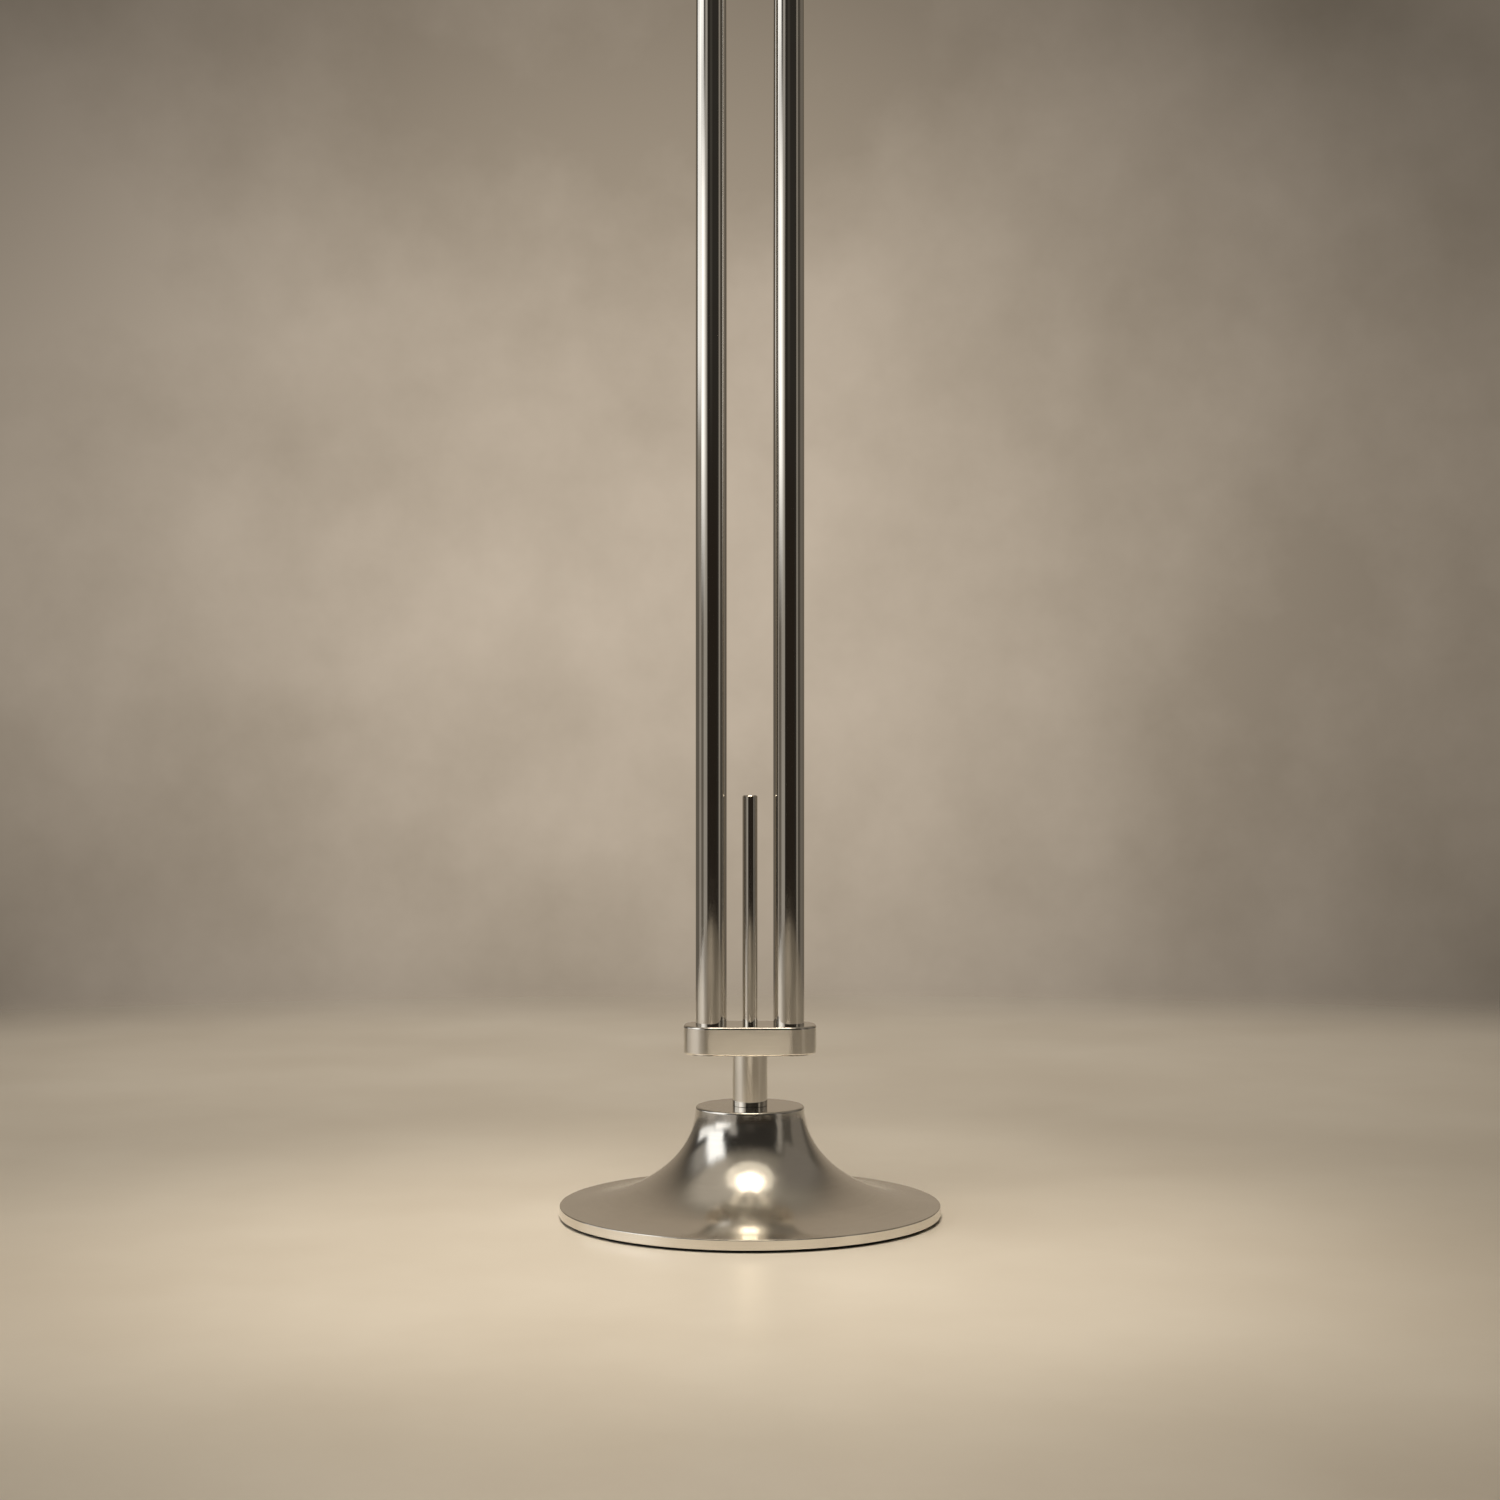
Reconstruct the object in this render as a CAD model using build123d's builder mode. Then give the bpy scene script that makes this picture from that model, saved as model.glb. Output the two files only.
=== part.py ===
from build123d import *

import os

# Trumpet stand: two polished tubes on a flared foot, and a carriage that holds a trumpet by its bell.
# Millimetres, +Z up. The origin is on the floor at the centre of the foot, and -Y is the front.
# From the floor up: a spun foot over an iron ballast, a swivelling neck, the lower plate with its
# two tubes and its short stop rod, the carriage that slides on the tubes, and the top plate.

# Foot: a spun shell, a cast ballast inside it, a closing plate and a rubber ring
foot_diameter = 304
foot_wall = 2
rim_height = 8
rim_edge = 0.8
hub_diameter = 86.8
hub_height = 88
hub_edge = 2
flare_top_handle = 48.7
flare_rim_handle = 48.7
pad_thickness = 2
pad_width = 25
pad_inset = 3
pad_edge = 0.5
ballast_gap = 1
ballast_top = 34
ballast_bore = 44
bottom_plate_thickness = 2
bottom_plate_gap = 0.3
bottom_screw_circle = 110
bottom_screw_count = 4

# Swivel: a housing on the ballast, two flanged bushes, and the post that turns in them
journal_diameter = 16
running_clearance = 0.05
thrust_gap = 0.05
bush_wall = 2
bush_flange = 1.5
bush_flange_inset = 1
bush_length = 20
housing_diameter = 40
housing_flange_diameter = 84
housing_flange = 6
housing_screw_circle = 64
housing_screw_count = 4
post_diameter = 28
post_gap = 0.2
neck_height = 42
post_spigot_diameter = 16
spindle_thread_diameter = 12
spindle_end = 2
shoulder_gap = 0.5
washer_diameter = 30
washer_thickness = 2.5
disc_spring_diameter = 25
disc_spring_thickness = 1.5
disc_spring_rise = 0.7
disc_spring_gap = 0.1
nut_across_flats = 19
nut_height = 10

# Column: a plate at each end of two tubes, and the stop rod between them
tube_diameter = 25
tube_wall = 1.5
tube_spacing = 62
tube_length = 1020
tube_socket = 3
plug_length = 22
plate_end_wall = 9.5
plate_side_wall = 13
plate_side_flat = 6
plate_thickness = 23
plate_edge = 2
plate_web = 3
rod_diameter = 12
rod_height = 183
rod_edge = 0.8
rod_spigot_diameter = 8
rod_spigot_length = 8

# Carriage: a block on four guide bushes, and the screw that clamps it to the right tube
carriage_height = 40
carriage_drop = 107
guide_wall = 2
guide_length = 12
guide_flange = 1.2
guide_flange_overlap = 2
bore_clearance = 0.5
buffer_diameter = 16
buffer_thickness = 4
clamp_pad_length = 3.4
clamp_pad_gap = 0.05
clamp_screw_diameter = 8
clamp_screw_bite = 10
clamp_collar_diameter = 14
clamp_collar_length = 3
clamp_collar_gap = 3
knob_diameter = 26
knob_length = 14
knob_edge = 1
knob_flutes = 20
knob_flute_diameter = 2.4

# Bell peg: an arm forward from the carriage, a dish, and a covered cone that goes into the bell
peg_reach = 95
arm_diameter = 12
arm_flange_diameter = 26
arm_flange = 4
arm_spigot_diameter = 10
arm_spigot_length = 14
grub_screw_recess = 1
boss_diameter = 30
boss_height = 35
boss_drop = 10
boss_edge = 1.5
dish_diameter = 84
dish_thickness = 6
dish_edge = 2
felt_inset = 3
felt_width = 9
felt_thickness = 4
felt_groove = 1.5
cone_height = 98
cone_foot_height = 5
cone_base_diameter = 58
cone_tip_diameter = 18
cone_base_handle = 13
cone_tip_handle = 62
core_base_diameter = 20
core_tip_diameter = 12
cap_diameter = 17
cap_height = 10
cap_edge = 3
cap_wall = 3

# Screws: nominal diameters, lengths, and the head diameter, head height and socket of each size
cap_heads = {8: (13, 8, 6), 6: (10, 6, 5)}
countersunk_heads = {4: (8, 2, 2.5)}
counterbore_gap = 0.5
bottom_screw = 4
bottom_screw_length = 14
housing_screw = 6
housing_screw_length = 18
plate_screw = 8
plate_screw_length = 25
grub_screw = 5
grub_screw_socket = 2.5
peg_bolt = 8

# Levels and sizes that follow, from the floor up
foot_radius = foot_diameter / 2
hub_radius = hub_diameter / 2
rim_top = pad_thickness + rim_height
ballast_bottom = pad_thickness + bottom_plate_thickness
housing_top = hub_height - foot_wall
bush_diameter = journal_diameter + 2 * (running_clearance + bush_wall)
bush_flange_diameter = post_diameter - 2 * bush_flange_inset
post_bottom = hub_height + post_gap
upper_bush_flange = post_bottom - thrust_gap - housing_top
lower_plate_bottom = hub_height + neck_height
lower_plate_top = lower_plate_bottom + plate_thickness
post_spigot_length = plate_thickness - rod_spigot_length - plate_web
washer_top = ballast_top - bush_flange - thrust_gap
spring_top = washer_top - washer_thickness
spring_height = disc_spring_thickness + disc_spring_rise
nut_top = spring_top - 2 * spring_height - disc_spring_gap
spindle_bottom = nut_top - nut_height - spindle_end

plate_length = tube_spacing + tube_diameter + 2 * plate_end_wall
plate_width = tube_diameter + 2 * plate_side_wall
plate_corner = (plate_width - plate_side_flat) / 2
tube_x = tube_spacing / 2
tube_radius = tube_diameter / 2
tube_bottom = lower_plate_top - tube_socket
tube_top = tube_bottom + tube_length
top_plate_bottom = tube_top - tube_socket
rod_top = lower_plate_top + rod_height
counterbore_depth = cap_heads[plate_screw][1] + counterbore_gap

carriage_top = top_plate_bottom - carriage_drop
carriage_bottom = carriage_top - carriage_height
carriage_middle = carriage_top - carriage_height / 2
guide_bore = tube_diameter + 2 * running_clearance
guide_diameter = guide_bore + 2 * guide_wall
guide_flange_diameter = guide_diameter + 2 * guide_flange_overlap
clamp_hole_diameter = clamp_screw_diameter + 2 * running_clearance
clamp_pad_start = tube_x + tube_radius + clamp_pad_gap
clamp_screw_start = clamp_pad_start + clamp_pad_length + clamp_pad_gap
clamp_collar_start = plate_length / 2 + clamp_collar_gap

boss_bottom = carriage_middle - boss_drop
boss_top = boss_bottom + boss_height
dish_top = boss_top + dish_thickness
cone_top = dish_top + cone_height
felt_radius = dish_diameter / 2 - felt_inset
grub_screw_length = (carriage_height - arm_spigot_diameter) / 2 - grub_screw_recess
grub_screw_y = (arm_spigot_length - plate_width) / 2

# Faces that pieces are placed on, and the way up that they are made
lower_plate_face = Plane.XY.offset(lower_plate_top)
carriage_end = Plane(origin=(plate_length / 2, 0, carriage_middle), z_dir=(1, 0, 0))
carriage_front = Plane(origin=(0, -plate_width / 2, carriage_middle), z_dir=(0, -1, 0))
carriage_roof = Plane(origin=(0, 0, carriage_top), x_dir=(-1, 0, 0), z_dir=(0, 0, 1))
upright = (Align.CENTER, Align.CENTER, Align.MIN)
hanging = (Align.CENTER, Align.CENTER, Align.MAX)

os.makedirs("parts", exist_ok=True)


def write(piece, name):
    """Labels a finished piece and writes it as parts/NAME.step."""
    piece.part.label = name
    export_step(piece.part, f"parts/{name}.step")


def underside(height):
    """A horizontal plane at a height, looking down."""
    return Plane(origin=(0, 0, height), x_dir=(-1, 0, 0), z_dir=(0, 0, -1))


def foot_body(inset, bottom, top):
    """The solid under the foot's flare, inset from its outer surface and cut at two levels."""
    lengthening = 0.55 * inset
    start = (hub_radius - inset, hub_height)
    end = (foot_radius, rim_top - inset)
    start_handle = (start[0], start[1] - flare_top_handle - lengthening)
    end_handle = (end[0] - flare_rim_handle - lengthening, end[1])
    with BuildPart() as body:
        with BuildSketch(Plane.XZ):
            with BuildLine():
                Bezier(start, start_handle, end_handle, end)
                Polyline(end, (foot_radius, 0), (0, 0), (0, hub_height), start)
            make_face()
            with Locations((0, bottom)):
                corner = (Align.MIN, Align.MIN)
                Rectangle(foot_radius - inset, top - bottom, align=corner, mode=Mode.INTERSECT)
        revolve(axis=Axis.Z)
    return body.part


def cap_screw(diameter, length):
    """A socket-head cap screw: the head stands on the origin's plane and the shank hangs below."""
    head_diameter, head_height, socket = cap_heads[diameter]
    with BuildPart() as screw:
        Cylinder(head_diameter / 2, head_height, align=upright)
        chamfer(screw.faces().sort_by(Axis.Z)[-1].edges(), head_height / 12)
        Cylinder(diameter / 2, length, align=hanging)
        chamfer(screw.faces().sort_by(Axis.Z)[0].edges(), diameter / 10)
        with BuildSketch(Plane.XY.offset(head_height)):
            RegularPolygon(socket / 2, 6, major_radius=False)
        extrude(amount=-head_height / 2, mode=Mode.SUBTRACT)
    return screw.part


def countersunk_screw(diameter, length):
    """A countersunk screw: the head's flat top is on the origin's plane and the rest hangs below."""
    head_diameter, head_height, socket = countersunk_heads[diameter]
    with BuildPart() as screw:
        Cone(diameter / 2, head_diameter / 2, head_height, align=hanging)
        Cylinder(diameter / 2, length, align=hanging)
        with BuildSketch():
            RegularPolygon(socket / 2, 6, major_radius=False)
        extrude(amount=-head_height / 2, mode=Mode.SUBTRACT)
    return screw.part


def flanged_bush(bore, wall, length, flange_diameter, flange):
    """A bush whose flange stands on the origin's plane and whose sleeve hangs below."""
    with BuildPart() as bush:
        Cylinder(flange_diameter / 2, flange, align=upright)
        Cylinder(bore / 2 + wall, length, align=hanging)
        Hole(bore / 2)
    return bush.part


def end_plate():
    """A rounded plate under the origin's plane, with a socket and a counterbored hole per tube."""
    counterbore_radius = cap_heads[plate_screw][0] / 2 + counterbore_gap
    with BuildPart() as plate:
        with BuildSketch():
            RectangleRounded(plate_length, plate_width, plate_corner)
        extrude(amount=-plate_thickness)
        fillet(plate.faces().filter_by(Axis.Z).edges(), plate_edge)
        with GridLocations(tube_spacing, 0, 2, 1):
            Hole(tube_radius, depth=tube_socket)
        with Locations(underside(-plate_thickness)):
            with GridLocations(tube_spacing, 0, 2, 1):
                CounterBoreHole(plate_screw / 2, counterbore_radius, counterbore_depth)
    return plate.part


# --- Foot: the body that stands on the floor -------------------------------------------------

# Spun shell: its hub is brazed to the housing, and its rim stands round the closing plate
with BuildPart() as foot_shell:
    add(foot_body(0, pad_thickness, hub_height))
    fillet(foot_shell.faces().sort_by(Axis.Z)[-1].edges(), hub_edge)
    fillet(foot_shell.edges().filter_by(GeomType.CIRCLE).group_by(SortBy.RADIUS)[-1], rim_edge)
    add(foot_body(foot_wall, 0, housing_top), mode=Mode.SUBTRACT)
    Hole(bush_flange_diameter / 2)
write(foot_shell, "foot_shell")

# Ballast: follows the shell's inside up to a flat top that carries the housing
with BuildPart() as foot_ballast:
    add(foot_body(foot_wall + ballast_gap, ballast_bottom, ballast_top))
    Hole(ballast_bore / 2)
    with Locations((0, 0, ballast_top)):
        with PolarLocations(housing_screw_circle / 2, housing_screw_count):
            Hole(housing_screw / 2, depth=housing_screw_length - housing_flange)
    with Locations(underside(ballast_bottom)):
        with PolarLocations(bottom_screw_circle / 2, bottom_screw_count, start_angle=45):
            Hole(bottom_screw / 2, depth=bottom_screw_length - bottom_plate_thickness)
write(foot_ballast, "foot_ballast")

# Closing plate: a disc inside the rim, flush with its lower edge
with BuildPart() as foot_bottom_plate:
    with Locations((0, 0, pad_thickness)):
        Cylinder(foot_radius - foot_wall - bottom_plate_gap, bottom_plate_thickness, align=upright)
    screw_head_radius = countersunk_heads[bottom_screw][0] / 2
    with Locations(underside(pad_thickness)):
        with PolarLocations(bottom_screw_circle / 2, bottom_screw_count, start_angle=45):
            CounterSinkHole(bottom_screw / 2, screw_head_radius, counter_sink_angle=90)
write(foot_bottom_plate, "foot_bottom_plate")

with BuildPart() as foot_bottom_screws:
    with Locations(underside(pad_thickness)):
        with PolarLocations(bottom_screw_circle / 2, bottom_screw_count, start_angle=45):
            add(countersunk_screw(bottom_screw, bottom_screw_length))
write(foot_bottom_screws, "foot_bottom_screws")

# Rubber ring: bonded under the closing plate, a little inside the rim
with BuildPart() as foot_pad:
    Cylinder(foot_radius - pad_inset, pad_thickness, align=upright)
    fillet(foot_pad.faces().sort_by(Axis.Z)[0].edges(), pad_edge)
    Hole(foot_radius - pad_inset - pad_width)
write(foot_pad, "foot_pad")

# Bearing housing: a flange screwed to the ballast and a sleeve that reaches the hub
with BuildPart() as bearing_housing:
    with Locations((0, 0, ballast_top)):
        Cylinder(housing_flange_diameter / 2, housing_flange, align=upright)
        Cylinder(housing_diameter / 2, housing_top - ballast_top, align=upright)
        Hole(bush_diameter / 2)
    with Locations((0, 0, ballast_top + housing_flange)):
        with PolarLocations(housing_screw_circle / 2, housing_screw_count):
            Hole(housing_screw / 2, depth=housing_flange)
write(bearing_housing, "bearing_housing")

with BuildPart() as housing_screws:
    with Locations((0, 0, ballast_top + housing_flange)):
        with PolarLocations(housing_screw_circle / 2, housing_screw_count):
            add(cap_screw(housing_screw, housing_screw_length))
write(housing_screws, "housing_screws")

with BuildPart() as upper_bush:
    with Locations((0, 0, housing_top)):
        add(
            flanged_bush(
                journal_diameter + 2 * running_clearance,
                bush_wall,
                bush_length,
                bush_flange_diameter,
                upper_bush_flange,
            )
        )
write(upper_bush, "upper_bush")

with BuildPart() as lower_bush:
    with Locations(underside(ballast_top)):
        add(
            flanged_bush(
                journal_diameter + 2 * running_clearance,
                bush_wall,
                bush_length,
                bush_flange_diameter,
                bush_flange,
            )
        )
write(lower_bush, "lower_bush")

# --- Column: the body that swivels on the foot -----------------------------------------------

# Post: the visible neck, its spigot in the lower plate, and the journal and thread in the foot
with BuildPart() as swivel_post:
    with Locations((0, 0, lower_plate_bottom)):
        Cylinder(post_diameter / 2, lower_plate_bottom - post_bottom, align=hanging)
        Cylinder(post_spigot_diameter / 2, post_spigot_length, align=upright)
    with Locations((0, 0, post_bottom)):
        Cylinder(journal_diameter / 2, post_bottom - washer_top - shoulder_gap, align=hanging)
        Cylinder(spindle_thread_diameter / 2, post_bottom - spindle_bottom, align=hanging)
write(swivel_post, "swivel_post")

with BuildPart() as spindle_washer:
    with Locations((0, 0, washer_top)):
        Cylinder(washer_diameter / 2, washer_thickness, align=hanging)
        Hole(spindle_thread_diameter / 2)
write(spindle_washer, "spindle_washer")

# Disc springs: two, stacked rim to rim, that press the washer up and give the swivel its friction
with BuildPart() as disc_springs:
    with BuildSketch(Plane.XZ):
        with BuildLine():
            Polyline(
                (spindle_thread_diameter / 2, spring_top),
                (disc_spring_diameter / 2, spring_top - disc_spring_rise),
                (disc_spring_diameter / 2, spring_top - spring_height),
                (spindle_thread_diameter / 2, spring_top - disc_spring_thickness),
                close=True,
            )
        make_face()
    revolve(axis=Axis.Z)
    mirror(about=Plane.XY.offset((spring_top + nut_top) / 2))
write(disc_springs, "disc_springs")

with BuildPart() as spindle_nut:
    with BuildSketch(Plane.XY.offset(nut_top)):
        RegularPolygon(nut_across_flats / 2, 6, major_radius=False)
        Circle(spindle_thread_diameter / 2, mode=Mode.SUBTRACT)
    extrude(amount=-nut_height)
write(spindle_nut, "spindle_nut")

# Lower plate: takes the post from below, and the tubes and the stop rod from above
with BuildPart() as lower_plate:
    with Locations(lower_plate_face):
        add(end_plate())
        Hole(rod_spigot_diameter / 2, depth=rod_spigot_length)
    with Locations(underside(lower_plate_bottom)):
        Hole(post_spigot_diameter / 2, depth=post_spigot_length)
write(lower_plate, "lower_plate")

with BuildPart() as lower_plate_screws:
    with Locations(underside(lower_plate_bottom + counterbore_depth)):
        with GridLocations(tube_spacing, 0, 2, 1):
            add(cap_screw(plate_screw, plate_screw_length))
write(lower_plate_screws, "lower_plate_screws")

with BuildPart() as top_plate:
    with Locations(underside(top_plate_bottom)):
        add(end_plate())
write(top_plate, "top_plate")

with BuildPart() as top_plate_screws:
    with Locations((0, 0, top_plate_bottom + plate_thickness - counterbore_depth)):
        with GridLocations(tube_spacing, 0, 2, 1):
            add(cap_screw(plate_screw, plate_screw_length))
write(top_plate_screws, "top_plate_screws")

# Tubes, with a tapped plug pressed into each end
for side, x in (("left", -tube_x), ("right", tube_x)):
    with BuildPart() as tube:
        with Locations((x, 0, tube_bottom)):
            Cylinder(tube_radius, tube_length, align=upright)
            Hole(tube_radius - tube_wall)
    write(tube, f"{side}_tube")

    for end, level in (("lower", tube_bottom), ("upper", tube_top - plug_length)):
        with BuildPart() as plug:
            with Locations((x, 0, level)):
                Cylinder(tube_radius - tube_wall, plug_length, align=upright)
                Hole(plate_screw / 2)
        write(plug, f"{side}_{end}_plug")

# Stop rod: screwed into the lower plate, and the carriage's lowest seat
with BuildPart() as stop_rod:
    with Locations(lower_plate_face):
        Cylinder(rod_diameter / 2, rod_height, align=upright)
        Cylinder(rod_spigot_diameter / 2, rod_spigot_length, align=hanging)
    chamfer(stop_rod.faces().sort_by(Axis.Z)[-1].edges(), rod_edge)
write(stop_rod, "stop_rod")

# --- Carriage: the body that slides on the tubes ---------------------------------------------

# Block: a pair of bores with a bush at each end, the clamp's hole, and the arm's socket
with BuildPart() as carriage_block:
    with BuildSketch(Plane.XY.offset(carriage_bottom)):
        RectangleRounded(plate_length, plate_width, plate_corner)
    extrude(amount=carriage_height)
    fillet(carriage_block.faces().filter_by(Axis.Z).edges(), plate_edge)
    for face in (carriage_roof, underside(carriage_bottom)):
        with Locations(face):
            with GridLocations(tube_spacing, 0, 2, 1):
                CounterBoreHole(tube_radius + bore_clearance, guide_diameter / 2, guide_length)
    with Locations(carriage_end):
        Hole(clamp_hole_diameter / 2, depth=plate_length / 2 - tube_x)
    with Locations(carriage_front):
        Hole(arm_spigot_diameter / 2, depth=arm_spigot_length)
    with Locations((0, grub_screw_y, carriage_top)):
        Hole(grub_screw / 2, depth=carriage_height / 2)
write(carriage_block, "carriage_block")

# Guide bushes, one in each mouth of each bore
for side, x in (("left", -tube_x), ("right", tube_x)):
    for end, face in (
        ("upper", carriage_roof),
        ("lower", underside(carriage_bottom)),
    ):
        with BuildPart() as guide_bush:
            with Locations(face):
                with Locations((-x, 0)):
                    add(
                        flanged_bush(
                            guide_bore,
                            guide_wall,
                            guide_length,
                            guide_flange_diameter,
                            guide_flange,
                        )
                    )
        write(guide_bush, f"{side}_{end}_guide_bush")

# Buffer: bonded under the block, and lands on the stop rod
with BuildPart() as rod_buffer:
    with Locations((0, 0, carriage_bottom)):
        Cylinder(buffer_diameter / 2, buffer_thickness, align=hanging)
write(rod_buffer, "rod_buffer")

# Peg arm: a flanged bar out of the block to the boss that carries the peg
with BuildPart() as peg_arm:
    with Locations((0, -peg_reach, boss_bottom)):
        Cylinder(boss_diameter / 2, boss_height, align=upright)
    fillet(peg_arm.faces().filter_by(Axis.Z).edges(), boss_edge)
    with Locations(carriage_front):
        Cylinder(arm_flange_diameter / 2, arm_flange, align=upright)
        Cylinder(arm_diameter / 2, peg_reach - plate_width / 2, align=upright)
        Cylinder(arm_spigot_diameter / 2, arm_spigot_length, align=hanging)
    with Locations((0, -peg_reach, boss_bottom)):
        Hole(peg_bolt / 2)
write(peg_arm, "peg_arm")

# Grub screw: down through the block onto the arm's spigot
with BuildPart() as arm_grub_screw:
    with Locations((0, grub_screw_y, carriage_top - grub_screw_recess)):
        Cylinder(grub_screw / 2, grub_screw_length, align=hanging)
    with BuildSketch(Plane.XY.offset(carriage_top - grub_screw_recess)):
        with Locations((0, grub_screw_y)):
            RegularPolygon(grub_screw_socket / 2, 6, major_radius=False)
    extrude(amount=-grub_screw_socket, mode=Mode.SUBTRACT)
write(arm_grub_screw, "arm_grub_screw")

# Dish: under the cone, with a felt ring in its groove for the inside of the bell
with BuildPart() as bell_dish:
    with Locations((0, -peg_reach, boss_top)):
        Cylinder(dish_diameter / 2, dish_thickness, align=upright)
    fillet(bell_dish.faces().filter_by(Axis.Z).edges(), dish_edge)
    with BuildSketch(Plane.XY.offset(dish_top)):
        with Locations((0, -peg_reach)):
            Circle(felt_radius)
            Circle(felt_radius - felt_width, mode=Mode.SUBTRACT)
    extrude(amount=-felt_groove, mode=Mode.SUBTRACT)
    with Locations((0, -peg_reach, dish_top)):
        Hole(peg_bolt / 2)
write(bell_dish, "bell_dish")

with BuildPart() as bell_felt:
    with BuildSketch(Plane.XY.offset(dish_top - felt_groove)):
        with Locations((0, -peg_reach)):
            Circle(felt_radius)
            Circle(felt_radius - felt_width, mode=Mode.SUBTRACT)
    extrude(amount=felt_thickness)
write(bell_felt, "bell_felt")

# Cone: a stiff core on the peg bolt, and a flared soft cover over it
with BuildPart() as bell_cone_core:
    with Locations((0, -peg_reach, dish_top)):
        Cone(core_base_diameter / 2, core_tip_diameter / 2, cone_height, align=upright)
        Hole(peg_bolt / 2)
write(bell_cone_core, "bell_cone_core")

with BuildPart() as bell_cone_cover:
    with BuildSketch(Plane(origin=(0, -peg_reach, dish_top), x_dir=(1, 0, 0), z_dir=(0, -1, 0))):
        base_radius = cone_base_diameter / 2
        tip_radius = cone_tip_diameter / 2
        with BuildLine():
            Bezier(
                (base_radius, cone_foot_height),
                (base_radius - cone_base_handle, cone_foot_height),
                (tip_radius, cone_height - cone_tip_handle),
                (tip_radius, cone_height),
            )
            Polyline(
                (tip_radius, cone_height),
                (core_tip_diameter / 2, cone_height),
                (core_base_diameter / 2, 0),
                (base_radius, 0),
                (base_radius, cone_foot_height),
            )
        make_face()
    revolve(axis=Axis((0, -peg_reach, 0), (0, 0, 1)))
write(bell_cone_cover, "bell_cone_cover")

# Peg bolt and its domed cap
with BuildPart() as peg_bolt_and_head:
    with Locations(Plane(origin=(0, -peg_reach, boss_bottom), z_dir=(0, 0, -1))):
        add(cap_screw(peg_bolt, cone_top + cap_height - cap_wall - boss_bottom))
write(peg_bolt_and_head, "peg_bolt")

with BuildPart() as peg_cap:
    with Locations((0, -peg_reach, cone_top)):
        Cylinder(cap_diameter / 2, cap_height, align=upright)
    fillet(peg_cap.faces().sort_by(Axis.Z)[-1].edges(), cap_edge)
    with Locations(Plane(origin=(0, -peg_reach, cone_top), z_dir=(0, 0, -1))):
        Hole(peg_bolt / 2, depth=cap_height - cap_wall)
write(peg_cap, "peg_cap")

# --- Clamp: a brass pad that the screw presses on the right tube, and the screw with its knob --

with BuildPart() as clamp_pad:
    with Locations(carriage_end.offset(clamp_pad_start - plate_length / 2)):
        Cylinder(clamp_screw_diameter / 2, clamp_pad_length, align=upright)
write(clamp_pad, "clamp_pad")

with BuildPart() as clamp_screw:
    with Locations(carriage_end.offset(clamp_screw_start - plate_length / 2)):
        Cylinder(
            clamp_screw_diameter / 2,
            clamp_collar_start + clamp_screw_bite - clamp_screw_start,
            align=upright,
        )
write(clamp_screw, "clamp_screw")

with BuildPart() as clamp_knob:
    knob_start = clamp_collar_start + clamp_collar_length
    with Locations(carriage_end.offset(knob_start - plate_length / 2)):
        Cylinder(knob_diameter / 2, knob_length, align=upright)
    chamfer(clamp_knob.faces().filter_by(Axis.X).edges(), knob_edge)
    with Locations(carriage_end.offset(knob_start - plate_length / 2)):
        with PolarLocations(knob_diameter / 2, knob_flutes):
            Cylinder(knob_flute_diameter / 2, knob_length, align=upright, mode=Mode.SUBTRACT)
    with Locations(carriage_end.offset(clamp_collar_start - plate_length / 2)):
        Cylinder(clamp_collar_diameter / 2, clamp_collar_length, align=upright)
    with Locations(Plane(origin=(clamp_collar_start, 0, carriage_middle), z_dir=(-1, 0, 0))):
        Hole(clamp_screw_diameter / 2, depth=clamp_screw_bite)
write(clamp_knob, "clamp_knob")
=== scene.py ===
# Looks of the trumpet stand: its metal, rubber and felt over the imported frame, in a warm studio whose
# light and reflections are fitted to the photograph's camera.

import math

import bmesh
import bpy
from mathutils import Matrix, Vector
from mathutils import noise as solid_noise


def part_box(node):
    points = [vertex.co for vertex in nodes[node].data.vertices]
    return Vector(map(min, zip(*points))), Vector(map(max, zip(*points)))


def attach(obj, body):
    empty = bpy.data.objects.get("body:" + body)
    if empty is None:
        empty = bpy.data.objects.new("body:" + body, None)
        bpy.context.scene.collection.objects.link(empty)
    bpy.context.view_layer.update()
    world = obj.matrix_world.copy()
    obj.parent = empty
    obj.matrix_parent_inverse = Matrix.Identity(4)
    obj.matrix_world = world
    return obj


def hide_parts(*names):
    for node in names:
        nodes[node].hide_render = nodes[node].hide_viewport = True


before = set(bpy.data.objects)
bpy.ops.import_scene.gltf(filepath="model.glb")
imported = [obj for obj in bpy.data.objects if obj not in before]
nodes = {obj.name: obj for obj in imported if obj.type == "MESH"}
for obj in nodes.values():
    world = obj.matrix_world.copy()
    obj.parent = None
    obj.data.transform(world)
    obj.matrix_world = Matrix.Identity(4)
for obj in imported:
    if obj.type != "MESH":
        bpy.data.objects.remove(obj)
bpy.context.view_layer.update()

MM = 0.001


# --- Small helpers for node trees ------------------------------------------------------------


def feed(tree, socket, value):
    """Links another node's output to an input, or sets the input to a number or a colour."""
    if isinstance(value, bpy.types.NodeSocket):
        tree.links.new(value, socket)
    elif isinstance(value, tuple):
        socket.default_value = (*value, 1.0)
    else:
        socket.default_value = value


def arithmetic(tree, operation, *values):
    """The outcome of a math node over sockets and numbers."""
    node = tree.nodes.new("ShaderNodeMath")
    node.operation = operation
    for socket, value in zip(node.inputs, values):
        feed(tree, socket, value)
    return node.outputs[0]


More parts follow.
